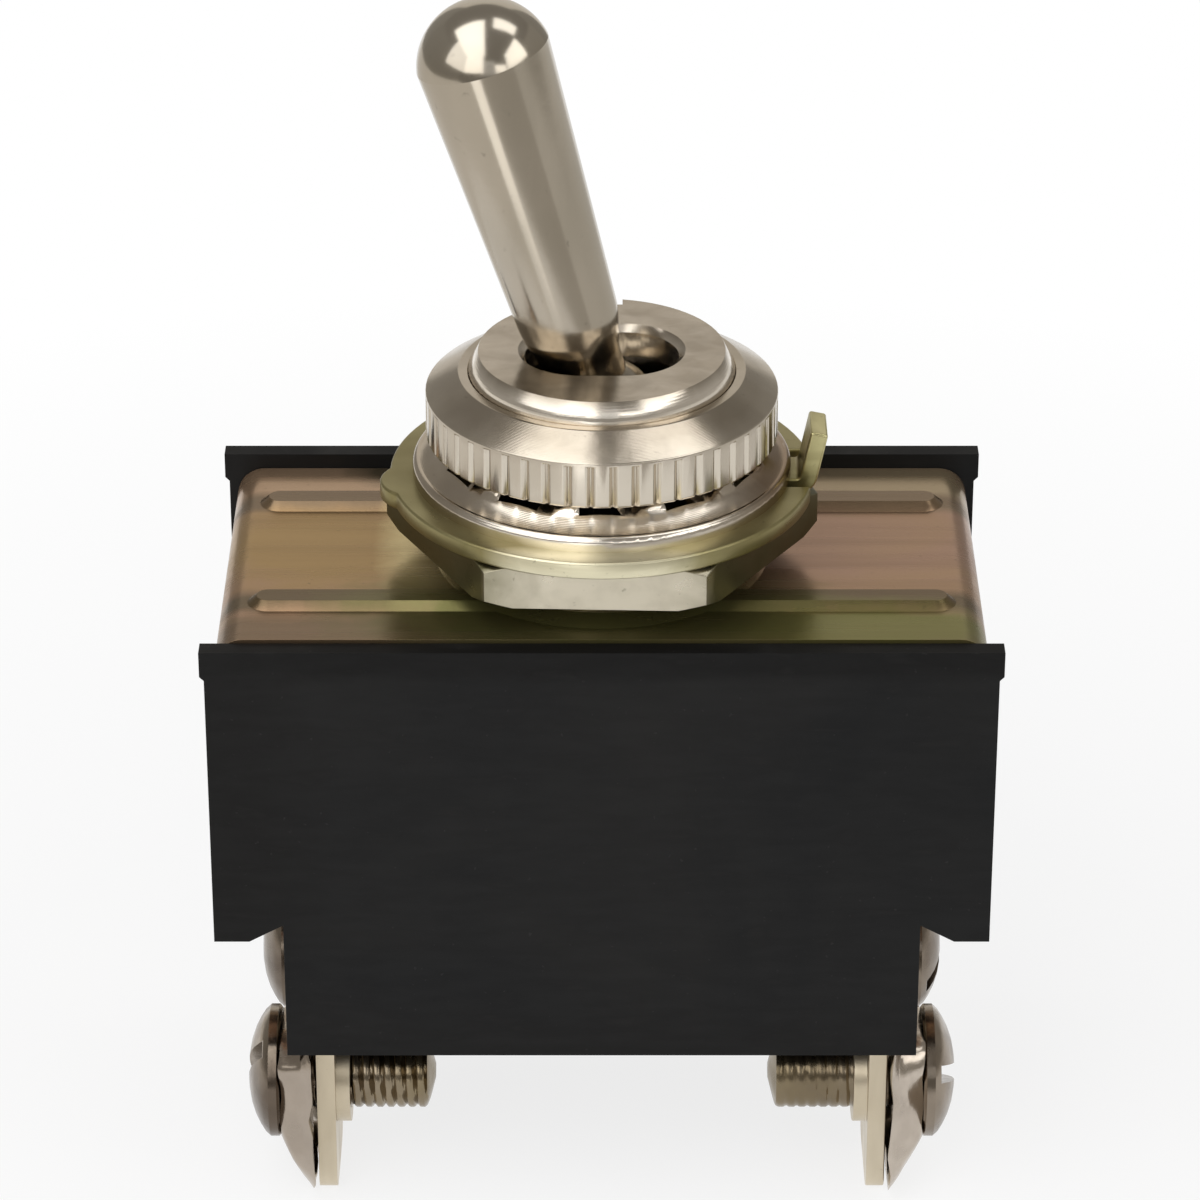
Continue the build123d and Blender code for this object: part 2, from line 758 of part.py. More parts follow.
def make_clamp_washer(pole, end):
    """A pressed cup: a flat crown under the screw's head, and sides that flare out to the tab."""
    cup = clamp_form(0, head_seat) - clamp_form(clamp_sheet, head_seat - clamp_sheet)
    cup -= screw_line() * Cylinder(screw_radius + running_fit, 8 * clamp_height)
    cup -= block(tab_face - 1, head_seat - clamp_sheet, -clamp_mouth / 2, clamp_mouth / 2,
                 screw_height + screw_radius, screw_height + 2 * screw_head_radius)
    return Pos(0, pole * pole_offset, 0) * mirrored_ends(cup, end)


def make_all():
    pieces = {
        "base": make_base(),
        "cover": make_cover(),
        "bushing": make_bushing(),
        "hex_nut": make_hex_nut(),
        "keyed_washer": make_keyed_washer(),
        "lock_washer": make_lock_washer(),
        "face_nut": make_face_nut(),
        "lever": make_lever(),
        "pivot_pin": make_pivot_pin(),
        "drive_yoke": make_drive_yoke(),
    }
    for name, pole in pole_sides.items():
        pieces[f"plunger_{name}"] = make_plunger(pole)
        pieces[f"plunger_spring_{name}"] = make_plunger_spring(pole)
        pieces[f"rocker_{name}"] = make_rocker(pole)
        pieces[f"moving_contact_{name}"] = make_moving_contact(pole)
        pieces[f"fixed_contact_{name}"] = make_fixed_contact(pole)
        pieces[f"common_terminal_{name}"] = make_common_terminal(pole)
        pieces[f"contact_terminal_{name}"] = make_contact_terminal(pole)
        for side, end in end_sides.items():
            pieces[f"terminal_screw_{name}_{side}"] = make_terminal_screw(pole, end)
            pieces[f"clamp_washer_{name}_{side}"] = make_clamp_washer(pole, end)
    return pieces


os.makedirs("parts", exist_ok=True)
for node, solid in make_all().items():
    export_step(solid, f"parts/{node}.step")
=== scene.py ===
import json
from math import acos, cos, degrees, pi, radians, sin

import bmesh
import bpy
from mathutils import Matrix, Vector, noise


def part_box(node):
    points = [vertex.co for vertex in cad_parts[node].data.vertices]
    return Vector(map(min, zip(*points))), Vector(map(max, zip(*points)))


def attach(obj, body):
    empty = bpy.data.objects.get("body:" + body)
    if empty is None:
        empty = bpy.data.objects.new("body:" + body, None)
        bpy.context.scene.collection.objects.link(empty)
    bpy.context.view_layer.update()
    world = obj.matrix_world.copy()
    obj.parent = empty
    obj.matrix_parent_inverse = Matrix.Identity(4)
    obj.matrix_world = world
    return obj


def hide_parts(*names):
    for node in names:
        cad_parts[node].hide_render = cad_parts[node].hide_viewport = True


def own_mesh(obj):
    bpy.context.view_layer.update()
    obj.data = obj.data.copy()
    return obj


# Looks of a heavy-duty toggle switch. Lengths are in millimetres until a mesh is made.

mm = 0.001
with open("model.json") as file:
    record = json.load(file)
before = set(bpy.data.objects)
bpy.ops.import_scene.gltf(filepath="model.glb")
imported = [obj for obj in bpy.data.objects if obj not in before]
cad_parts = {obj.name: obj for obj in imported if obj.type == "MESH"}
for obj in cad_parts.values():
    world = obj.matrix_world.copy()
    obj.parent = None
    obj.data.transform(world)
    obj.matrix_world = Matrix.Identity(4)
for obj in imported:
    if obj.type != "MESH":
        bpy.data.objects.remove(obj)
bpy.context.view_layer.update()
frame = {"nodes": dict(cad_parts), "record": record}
nodes = frame["nodes"]
body_of_node = {name: body for body, names in frame["record"]["behaviour"]["bodies"].items()
                for name in names}

# Camera fitted to the photograph
view_elevation = 27.5
view_distance = 234.94
view_target = Vector((-0.08, 0, -2.52))
sensor_width = 36
lens = 153.35

# Sizes that the CAD part has too
pole_offset = 5.7
tab_face = 13.225
head_seat = tab_face + 1.75
screw_height = -24.4
screw_radius = 1.75
screw_length = 7.2
screw_head_radius = 3.1
screw_head = 1.55
floor_height = -29.52
lever_lean = 16.4
pivot_height = 6.615
hub_radius = 2.9
stem_radius = 1.6
neck_radius = 1.8
neck_end = 3.3
grip_start = (2.28, 5.1)
grip_end = (3.0, 18.43)
dome_height = 2.45
pin_hole_radius = 0.95


# Node trees

def add(tree, kind, **values):
    """A shader node with its properties and its sockets' values set by name."""
    made = tree.nodes.new(kind)
    for name, value in values.items():
        if hasattr(made, name):
            setattr(made, name, value)
        else:
            made.inputs[name.replace("_", " ").title()].default_value = value
    return made


def pattern(tree, stretch, detail=5.0, distortion=0.0, start=0.0):
    """Noise over the piece's own millimetres, with a frequency for each axis."""
    place = add(tree, "ShaderNodeTexCoord")
    mapping = add(tree, "ShaderNodeMapping")
    mapping.inputs["Scale"].default_value = [f / mm for f in stretch]
    mapping.inputs["Location"].default_value = (start, start / 2, -start)
    cells = add(tree, "ShaderNodeTexNoise", scale=1.0, detail=detail, distortion=distortion)
    tree.links.new(place.outputs["Object"], mapping.inputs["Vector"])
    tree.links.new(mapping.outputs["Vector"], cells.inputs["Vector"])
    return cells.outputs["Fac"]


def turning_marks(tree):
    """Fine rings about the upright axis, as a turned piece has."""
    rings_per_mm = 5.0
    place = add(tree, "ShaderNodeTexCoord")
    mapping = add(tree, "ShaderNodeMapping")
    mapping.inputs["Scale"].default_value = [rings_per_mm / mm] * 3
    wave = add(tree, "ShaderNodeTexWave", wave_type="RINGS", rings_direction="Z", scale=1.0,
               distortion=0.6, detail=2.0)
    tree.links.new(place.outputs["Object"], mapping.inputs["Vector"])
    tree.links.new(mapping.outputs["Vector"], wave.inputs["Vector"])
    return wave.outputs["Fac"]


def ramp(tree, factor, stops):
    """A colour from a factor, through stops of position and linear colour."""
    made = add(tree, "ShaderNodeValToRGB")
    elements = made.color_ramp.elements
    while len(elements) < len(stops):
        elements.new(0.5)
    for element, (position, colour) in zip(elements, stops):
        element.position = position
        element.color = (*colour, 1)
    tree.links.new(factor, made.inputs["Fac"])
    return made.outputs["Color"]


def between(tree, factor, low, high, start=0.3, end=0.7):
    """A number from low to high as the factor goes from start to end."""
    made = add(tree, "ShaderNodeMapRange")
    for name, value in (("From Min", start), ("From Max", end), ("To Min", low), ("To Max", high)):
        made.inputs[name].default_value = value
    tree.links.new(factor, made.inputs["Value"])
    return made.outputs["Result"]


def mixed(tree, factor, first, second):
    """A colour from the first to the second, each a socket or a linear colour."""
    made = add(tree, "ShaderNodeMix", data_type="RGBA")
    tree.links.new(factor, made.inputs["Factor"])
    for name, source in (("A", first), ("B", second)):
        socket = [s for s in made.inputs if s.name == name and s.type == "RGBA"][0]
        if isinstance(source, tuple):
            socket.default_value = (*source, 1)
        else:
            tree.links.new(source, socket)
    return [s for s in made.outputs if s.type == "RGBA"][0]


def blot(tree, centre, reach, ragged=0.5):
    """A patch about a place of the piece in millimetres: 1 inside it, 0 outside, ragged between."""
    place = add(tree, "ShaderNodeTexCoord")
    mapping = add(tree, "ShaderNodeMapping")
    mapping.inputs["Location"].default_value = [-c / r for c, r in zip(centre, reach)]
    mapping.inputs["Scale"].default_value = [1 / (r * mm) for r in reach]
    length = add(tree, "ShaderNodeVectorMath", operation="LENGTH")
    edge = add(tree, "ShaderNodeMath", operation="MULTIPLY_ADD")
    edge.inputs[1].default_value = ragged
    tree.links.new(place.outputs["Object"], mapping.inputs["Vector"])
    tree.links.new(mapping.outputs["Vector"], length.inputs[0])
    tree.links.new(pattern(tree, (0.6, 0.9, 0.6), 6.0, 0.6, 6.0), edge.inputs[0])
    tree.links.new(length.outputs["Value"], edge.inputs[2])
    middle = 1 + ragged / 2
    inner_fade, outer_fade = 0.4, 0.3
    return between(tree, edge.outputs[0], 1.0, 0.0, middle - inner_fade, middle + outer_fade)


def bumped(tree, shader, layers):
    """Bumps one after another, each a height and its depth in millimetres."""
    normal = None
    for height, depth in layers:
        bump = add(tree, "ShaderNodeBump")
        bump.inputs["Distance"].default_value = depth * mm
        bump.inputs["Strength"].default_value = 1.0
        tree.links.new(height, bump.inputs["Height"])
        if normal:
            tree.links.new(normal, bump.inputs["Normal"])
        normal = bump.outputs["Normal"]
    tree.links.new(normal, shader.inputs["Normal"])


def new_material(name, metallic, specular=0.5):
    """A material with its node tree and its shader."""
    material = bpy.data.materials.new(name)
    material.use_nodes = True
    shader = material.node_tree.nodes["Principled BSDF"]
    shader.inputs["Metallic"].default_value = metallic
    shader.inputs["Specular IOR Level"].default_value = specular
    return material, material.node_tree, shader


# Materials

def shaded(colour, share):
    """A colour made darker by a share below 1, or lighter by one above it."""
    return tuple(c * share for c in colour)


def with_stains_and_painted_light(tree, colour, stains_and_painted_light):
    """The colour with stains and painted light and shade over it, each a centre and a reach in
    millimetres and a tone.
    """
    for centre, reach, tone in stains_and_painted_light:
        colour = mixed(tree, blot(tree, centre, reach), colour, tone)
    return colour


def plated(name, light, dark, roughness, streaks=(0.4, 0.4, 0.4), turned=False, grain=0.0015,
           wave=0.004, stains_and_painted_light=()):
    """Nickel plate with clouding, faint streaks, handling marks, a wavy surface, and the stains and
    painted light given to it.
    The grain and the wave are depths in millimetres."""
    streak_shade, mark_shade = 0.72, 0.5
    material, tree, shader = new_material(name, 1.0)
    cloud = pattern(tree, (0.16, 0.16, 0.16), 4.0, 0.4)
    streak = pattern(tree, streaks, 6.0, 0.2, 7.0)
    specks = pattern(tree, (2.4, 2.4, 2.4), 3.0, 0.0, 3.0)
    colour = ramp(tree, cloud, [(0.36, dark), (0.64, light)])
    soft = between(tree, streak, 0.0, 0.28, 0.42, 0.66)
    colour = mixed(tree, soft, colour, shaded(dark, streak_shade))
    worn = between(tree, specks, 0.0, 0.4, 0.68, 0.78)
    colour = with_stains_and_painted_light(tree, mixed(tree, worn, colour, shaded(dark, mark_shade)), stains_and_painted_light)
    tree.links.new(colour, shader.inputs["Base Color"])
    rough = between(tree, streak, roughness[0], roughness[1], 0.35, 0.7)
    tree.links.new(rough, shader.inputs["Roughness"])
    layers = [(pattern(tree, (0.42, 0.42, 0.42), 1.0, 0.2, 5.0), wave),
              (pattern(tree, (2.2, 2.2, 2.2), 3.0, 0.0, 9.0), grain)]
    if turned:
        layers.append((turning_marks(tree), grain * 0.6))
    bumped(tree, shader, layers)
    return material


def zinc_yellow(name, pink, tan_tone, olive, streaks, olive_share, stains_and_painted_light=(),
                roughness=(0.26, 0.4), metallic=0.9):
    """Yellow-passivated zinc with tan, pink and olive clouds, streaks, stains and painted light and
    shade.
    """
    streak_shade, spot_shade = 0.5, 0.4
    streak_depth, spot_depth = 0.004, 0.003
    material, tree, shader = new_material(name, metallic)
    cloud = pattern(tree, (0.05, 0.12, 0.12), 3.0, 0.8)
    patch = pattern(tree, (0.07, 0.22, 0.16), 4.0, 1.2, 11.0)
    streak = pattern(tree, streaks, 7.0, 0.1, 4.0)
    fine = pattern(tree, (3.0, 3.0, 3.0), 4.0)
    colour = ramp(tree, cloud, [(0.38, pink), (0.62, tan_tone)])
    greener = between(tree, patch, 0.0, 1.0, 0.62 - olive_share, 0.78 - olive_share)
    colour = with_stains_and_painted_light(tree, mixed(tree, greener, colour, olive), stains_and_painted_light)
    dull = between(tree, streak, 0.0, 0.14, 0.45, 0.75)
    colour = mixed(tree, dull, colour, shaded(pink, streak_shade))
    spots = between(tree, fine, 0.0, 0.4, 0.66, 0.76)
    colour = mixed(tree, spots, colour, shaded(olive, spot_shade))
    tree.links.new(colour, shader.inputs["Base Color"])
    tree.links.new(between(tree, streak, *roughness), shader.inputs["Roughness"])
    bumped(tree, shader, [(streak, streak_depth), (fine, spot_depth)])
    return material


def moulded(name, light, dark, roughness, specular, stains_and_painted_light=()):
    """Moulded plastic with a fine skin, flow clouds, duller places, dust and the darker patches
    given to it.
    """
    rub_shade, dust_shade = 1.9, 4
    flow_depth, rub_depth, skin_depth = 0.05, 0.008, 0.006
    material, tree, shader = new_material(name, 0.0, specular)
    flow = pattern(tree, (0.06, 0.08, 0.05), 4.0, 1.6)
    skin = pattern(tree, (5.0, 5.0, 5.0), 6.0)
    rub = pattern(tree, (0.35, 0.5, 1.6), 6.0, 0.3, 2.0)
    dust = pattern(tree, (3.2, 3.2, 3.2), 2.0, 0.0, 8.0)
    colour = with_stains_and_painted_light(tree, ramp(tree, flow, [(0.35, dark), (0.68, light)]), stains_and_painted_light)
    worn = between(tree, rub, 0.0, 0.35, 0.6, 0.75)
    colour = mixed(tree, worn, colour, shaded(light, rub_shade))
    dusty = between(tree, dust, 0.0, 0.3, 0.7, 0.76)
    colour = mixed(tree, dusty, colour, shaded(light, dust_shade))
    tree.links.new(colour, shader.inputs["Base Color"])
    tree.links.new(between(tree, rub, *roughness), shader.inputs["Roughness"])
    bumped(tree, shader, [(flow, flow_depth), (rub, rub_depth), (skin, skin_depth)])
    return material


# Heights of the painted highlight bands on the knurl and on the bush's top chamfer
knurl_height, bush_band_depth = 2.2, 0.9
knurl_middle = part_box("face_nut")[0][2] / mm + knurl_height / 2
bush_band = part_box("bushing")[1][2] / mm - bush_band_depth

# Stains and painted light and shade: centre and reach in millimetres, then a tone
cover_stains_and_painted_light = [
    ((-12.5, 0.5, 0), (6, 4.5, 1.6), (0.385, 0.248, 0.1)),
    # Darker front strip: painted shade, standing for the reflection of the black front wall.
    ((0, -7.9, 0), (60, 1.5, 1.6), (0.22, 0.145, 0.085)),
    # Lighter rear zones: a tone of the plating, painted lighter as well to make up for the rear
    # wall's shade.
    ((-12, 7.5, 0), (6, 2.6, 1.6), (0.5, 0.34, 0.215)),
    ((13, 6.9, 0), (7, 2.4, 1.6), (0.39, 0.30, 0.185)),
    # Darker bands along both ribs: painted shade over the ribs' highlights.
    ((0, 5, 0.35), (60, 1.0, 1.2), (0.21, 0.145, 0.085)),
    ((0, -5, 0.35), (60, 1.0, 1.2), (0.15, 0.105, 0.055)),
    ((11, -7.4, 0), (10, 1.9, 1.6), (0.2, 0.187, 0.055)),
    # Bright yellow band left of the nut: a painted reflection of the key ring and nut.
    ((-8.0, 1.0, 0), (1.9, 7.0, 1.6), (0.62, 0.50, 0.25)),
    # Dark patch at the rear end of that band: painted shade of the key ring's lug.
    ((-9.0, 8.3, 0), (2.6, 1.6, 1.6), (0.15, 0.115, 0.07)),
    # Dark olive about the boss under the hex nut: painted shade of the nut.
    ((-1, -6, 0), (10, 4.2, 1.6), (0.16, 0.15, 0.052)),
]
shank_stains = [((0, side * pole_offset, screw_height), (12.3, 5, 5), (0.24, 0.19, 0.11))
                for side in (-1, 1)]

# Tones, roughness from its lowest to its highest, and streaks by their repeats along each axis
materials = {
    # The lever's stain lightens the top of its dome: a painted highlight.
    "lever": plated("polished_nickel", (0.49, 0.435, 0.355), (0.455, 0.405, 0.327), (0.13, 0.2),
                    streaks=(0.3, 0.3, 0.05), wave=0.003,
                    stains_and_painted_light=[((-5.7, 0, 26.4), (4, 4, 2), (0.56, 0.51, 0.43))]),
    # The nut's stain lightens a band about the middle of its knurl: a painted highlight.
    "nut": plated("turned_nickel", (0.53, 0.47, 0.39), (0.44, 0.385, 0.305), (0.16, 0.25),
                  turned=True, wave=0.008,
                  stains_and_painted_light=[((0, 0, knurl_middle), (30, 30, 1.3), (0.63, 0.57, 0.48))]),
    # The bush's stain lightens the top band of its chamfer: a painted highlight.
    "bush": plated("turned_bush", (0.47, 0.41, 0.33), (0.39, 0.335, 0.265), (0.16, 0.25),
                   turned=True, wave=0.008,
                   stains_and_painted_light=[((0, 0, bush_band), (30, 30, 0.75), (0.86, 0.79, 0.69))]),
    # The hex nut's dark olive tones stand for its shaded flanks, painted shade; its stain lightens
    # the front facet, a painted highlight.
    "hex": zinc_yellow("zinc_yellow_nut", (0.13, 0.12, 0.06), (0.17, 0.155, 0.085),
                       (0.1, 0.1, 0.04), streaks=(0.9, 0.3, 0.9), olive_share=0.05,
                       stains_and_painted_light=[((0, -8.7, 2.4), (5.8, 0.7, 4), (0.58, 0.53, 0.42))]),
    # The lock washer's stains darken its right side, painted shade, and lighten its front rim, a
    # painted highlight.
    "washer": plated("bright_nickel", (0.62, 0.55, 0.46), (0.50, 0.43, 0.34), (0.15, 0.25),
                     turned=True, wave=0.008,
                     stains_and_painted_light=[((8.2, -1, 5), (2.6, 5, 4), (0.30, 0.22, 0.15)),
                             ((-1, -7.6, 5), (7, 2, 1.5), (0.8, 0.74, 0.65))]),
    "strip": plated("plated_brass_strip", (0.72, 0.64, 0.50), (0.58, 0.50, 0.37), (0.26, 0.42),
                    streaks=(0.6, 0.6, 0.15), grain=0.004),
    "screw": plated("plated_screw", (0.35, 0.295, 0.235), (0.14, 0.11, 0.085), (0.17, 0.3),
                    streaks=(0.8, 0.8, 0.8), grain=0.008, wave=0.09, stains_and_painted_light=shank_stains),
    "clamp": plated("plated_clamp", (0.64, 0.57, 0.49), (0.40, 0.34, 0.28), (0.16, 0.3),
                    streaks=(0.5, 0.9, 0.6), grain=0.01, wave=0.06),
    "brass": plated("bare_brass", (0.66, 0.47, 0.20), (0.5, 0.34, 0.13), (0.24, 0.4)),
    "silver": plated("contact_silver", (0.75, 0.74, 0.70), (0.6, 0.58, 0.53), (0.3, 0.45)),
    "spring": plated("spring_steel", (0.42, 0.42, 0.42), (0.3, 0.29, 0.28), (0.22, 0.36)),
    "cover": zinc_yellow("zinc_yellow_cover", (0.37, 0.225, 0.15), (0.38, 0.24, 0.125),
                         (0.28, 0.23, 0.1), streaks=(0.035, 0.9, 0.9), olive_share=-0.04,
                         stains_and_painted_light=cover_stains_and_painted_light, roughness=(0.2, 0.32), metallic=0.75),
    # The key ring's stains lighten its front edge and its right tab: painted highlights.
    "key_ring": zinc_yellow("zinc_yellow_ring", (0.27, 0.23, 0.1), (0.36, 0.32, 0.16),
                            (0.22, 0.2, 0.07), streaks=(0.3, 0.3, 2.4), olive_share=0.05,
                            stains_and_painted_light=[((-1, -9.6, 3.8), (6, 1.4, 3), (0.72, 0.67, 0.48)),
                                    ((10.3, 0, 5.6), (1.4, 2, 2.4), (0.62, 0.57, 0.3))]),
    # The black moulding is made darker along the front wall's top edge, at its left end and towards
    # its bottom.
    "moulding": moulded("black_moulding", (0.0098, 0.0094, 0.009), (0.0055, 0.0058, 0.0062),
                        (0.5, 0.68), specular=0.2,
                        stains_and_painted_light=[((0, -9, -0.6), (60, 3, 0.9), (0.0035, 0.0033, 0.0032)),
                                ((-18, -9, -9), (5, 3, 12), (0.0055, 0.0052, 0.005)),
                                ((0, -9, -23), (60, 3, 4), (0.006, 0.0057, 0.0055))]),
    "insulator": moulded("brown_insulator", (0.12, 0.055, 0.03), (0.08, 0.035, 0.02),
                         (0.45, 0.65), specular=0.35),
}
material_names = {
    "base": "moulding", "cover": "cover", "bushing": "bush", "hex_nut": "hex",
    "keyed_washer": "key_ring", "lock_washer": "washer", "face_nut": "nut", "lever": "lever",
    "pivot_pin": "spring", "drive_yoke": "insulator", "plunger": "brass",
    "plunger_spring": "spring", "rocker": "brass", "moving_contact": "silver",
    "fixed_contact": "silver", "common_terminal": "strip", "contact_terminal": "strip",
    "terminal_screw": "screw", "clamp_washer": "clamp",
}


def material_for(node):
    """The material of the longest of the names that the node's name starts with."""
    kind = max((k for k in material_names if node.startswith(k)), key=len)
    return materials[material_names[kind]]


# Meshes

def linked(name, data):
    """A new object in the scene for a mesh, a light or a camera."""
    made = bpy.data.objects.new(name, data)
    bpy.context.scene.collection.objects.link(made)
    return made


def shade_smooth(mesh):
    for polygon in mesh.polygons:
        polygon.use_smooth = True


def finished(mesh, name, node, sharp=None):
    """Puts a mesh in the scene as the piece that stands for a CAD node."""
    piece = linked(name, mesh)
    mesh.materials.clear()
    mesh.materials.append(material_for(node))
    if sharp:
        shade_smooth(mesh)
        mesh.set_sharp_from_angle(angle=radians(sharp))
    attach(piece, body_of_node[node])
    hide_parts(node)
    return piece


def applied(piece):
    """The mesh that a piece has once its modifiers are applied."""
    graph = bpy.context.evaluated_depsgraph_get()
    return bpy.data.meshes.new_from_object(piece.evaluated_get(graph),
                                           preserve_all_data_layers=True, depsgraph=graph)


def softened(node, width, sharp=None):
    """The CAD node's own mesh with its edges rounded by a width in millimetres.
    Without an angle for sharp edges, it is smooth all over and its flat faces shade flat."""
    seam, flat_angle, edge_angle, segments = 0.002, 0.8, 30, 3
    shape = bmesh.new()
    shape.from_mesh(nodes[node].data)
    bmesh.ops.remove_doubles(shape, verts=shape.verts, dist=seam * mm)
    if width:
        bmesh.ops.dissolve_limit(shape, angle_limit=radians(flat_angle), verts=shape.verts,
                                 edges=shape.edges)
    mesh = bpy.data.meshes.new(f"{node}_soft")
    shape.to_mesh(mesh)
    shape.free()
    if not width:
        return finished(mesh, f"{node}_detail", node, sharp)
    blank = linked(f"{node}_blank", mesh)
    bevel = blank.modifiers.new("rounding", "BEVEL")
    bevel.width = width * mm
    bevel.segments = segments
    bevel.limit_method = "ANGLE"
    bevel.angle_limit = radians(edge_angle)
    if not sharp:
        shade_smooth(mesh)
        blank.modifiers.new("flat_faces", "WEIGHTED_NORMAL")
    mesh = applied(blank)
    bpy.data.objects.remove(blank)
    return finished(mesh, f"{node}_detail", node, sharp)


def crumple(piece, cuts, frequency, depth):
    """Divides a piece's faces and moves them by noise, with a depth in millimetres."""
    shortest_cut, seed = 0.5, 4
    noise.seed_set(seed)    # without a seed, the noise follows the clock
    shape = bmesh.new()
    shape.from_mesh(piece.data)
    bmesh.ops.triangulate(shape, faces=shape.faces)
    long_edges = [edge for edge in shape.edges if edge.calc_length() > shortest_cut * mm]
    bmesh.ops.subdivide_edges(shape, edges=long_edges, cuts=cuts, use_grid_fill=True)
    for vert in shape.verts:
        vert.co += noise.noise_vector(vert.co * frequency / mm) * depth * mm
    shape.to_mesh(piece.data)
    shape.free()


def lathe(profile, steps):
    """Grid mesh turned about +Z. The profile gives radius and height for a turn from 0 to 1."""
    shape = bmesh.new()
    columns = []
    for i in range(steps):
        angle = 2 * pi * i / steps
        column = [shape.verts.new((r * cos(angle) * mm, r * sin(angle) * mm, z * mm))
                  for r, z in profile(i / steps)]
        columns.append(column)
    for i, column in enumerate(columns):
        other = columns[(i + 1) % steps]
        for j in range(len(column) - 1):
            shape.faces.new((column[j], other[j], other[j + 1], column[j + 1]))
    for end in (0, -1):
        ring = [column[end] for column in columns]
        shape.faces.new(ring if end else ring[::-1])
    bmesh.ops.recalc_face_normals(shape, faces=shape.faces)
    return shape


# Studio

def emission(name, strength, colour=(1, 1, 1)):
    """A material that only glows."""
    material = bpy.data.materials.new(name)
    material.use_nodes = True
    tree = material.node_tree
    tree.nodes.clear()
    light = add(tree, "ShaderNodeEmission", strength=strength)
    light.inputs["Color"].default_value = (*colour, 1)
    out = add(tree, "ShaderNodeOutputMaterial")
    tree.links.new(light.outputs["Emission"], out.inputs["Surface"])
    return material


def flat(name, corners, material):
    """One flat face for the studio, through corners in millimetres."""
    mesh = bpy.data.meshes.new(name)
    mesh.from_pydata([[c * mm for c in corner] for corner in corners], [],
                     [list(range(len(corners)))])
    mesh.materials.append(material)
    card = linked(name, mesh)
    return card


def reflector(name, corners, strength, colour=(1, 1, 1)):
    """A studio card that only shows in the metal's reflections."""
    card = flat(name, corners, emission(name, strength, colour))
    card.visible_camera = False
    card.visible_diffuse = False
    card.visible_shadow = False
    card.visible_transmission = False
    card.visible_volume_scatter = False
    return card


def sector(start, end, near, far, height):
    """Corners of a ring's sector on the floor, with angles from the front towards the right."""
    steps = 12
    angles = [radians(start + (end - start) * i / steps) for i in range(steps + 1)]
    outer = [(far * sin(a), -far * cos(a), height) for a in angles]
    inner = [(near * sin(a), -near * cos(a), height) for a in reversed(angles)]
    return outer + inner


def softbox(name, place, size, aim, radiance=1.9):
    """An area light with a size in millimetres and the brightness that its face shows."""
    light = bpy.data.lights.new(name, "AREA")
    light.shape = "RECTANGLE"
    light.size, light.size_y = size[0] * mm, size[1] * mm
    light.energy = radiance * pi * light.size * light.size_y
    lamp = linked(name, light)
    lamp.location = Vector(place) * mm
    look = (Vector(aim) - Vector(place)).to_track_quat("-Z", "Y")
    lamp.rotation_euler = look.to_euler()
    lamp.visible_camera = False


def seen_rays(tree):
    """1 for the rays that show the background, straight on, in metal or through glass."""
    path = add(tree, "ShaderNodeLightPath")
    seen = path.outputs["Is Camera Ray"]
    for kind in ("Is Glossy Ray", "Is Transmission Ray"):
        either = add(tree, "ShaderNodeMath", operation="MAXIMUM")
        tree.links.new(seen, either.inputs[0])
        tree.links.new(path.outputs[kind], either.inputs[1])
        seen = either.outputs[0]
    return seen


def make_floor():
    """A pale floor that keeps a soft shadow near the switch and shows white farther off."""
    material, tree, shader = new_material("floor", 0.0, 0.0)
    grain = pattern(tree, (0.02, 0.02, 0.02), 3.0)
    tree.links.new(ramp(tree, grain, [(0.3, (0.93, 0.93, 0.93)), (0.7, (0.95, 0.95, 0.95))]),
                   shader.inputs["Base Color"])
    shader.inputs["Roughness"].default_value = 0.9
    place = add(tree, "ShaderNodeTexCoord")
    distance = add(tree, "ShaderNodeVectorMath", operation="LENGTH")
    tree.links.new(place.outputs["Object"], distance.inputs[0])
    near, far = 45, 100
    white = between(tree, distance.outputs["Value"], 0.8, 1.0, near * mm, far * mm)
    share = add(tree, "ShaderNodeMath", operation="MULTIPLY")
    tree.links.new(white, share.inputs[0])
    tree.links.new(seen_rays(tree), share.inputs[1])
    glow = add(tree, "ShaderNodeEmission", strength=1.0)
    both = add(tree, "ShaderNodeMixShader")
    tree.links.new(share.outputs[0], both.inputs[0])
    tree.links.new(shader.outputs["BSDF"], both.inputs[1])
    tree.links.new(glow.outputs["Emission"], both.inputs[2])
    tree.links.new(both.outputs["Shader"], tree.nodes["Material Output"].inputs["Surface"])
    reach = 2500
    flat("floor", [(-reach, -reach, floor_height), (reach, -reach, floor_height),
                   (reach, reach, floor_height), (-reach, reach, floor_height)], material)


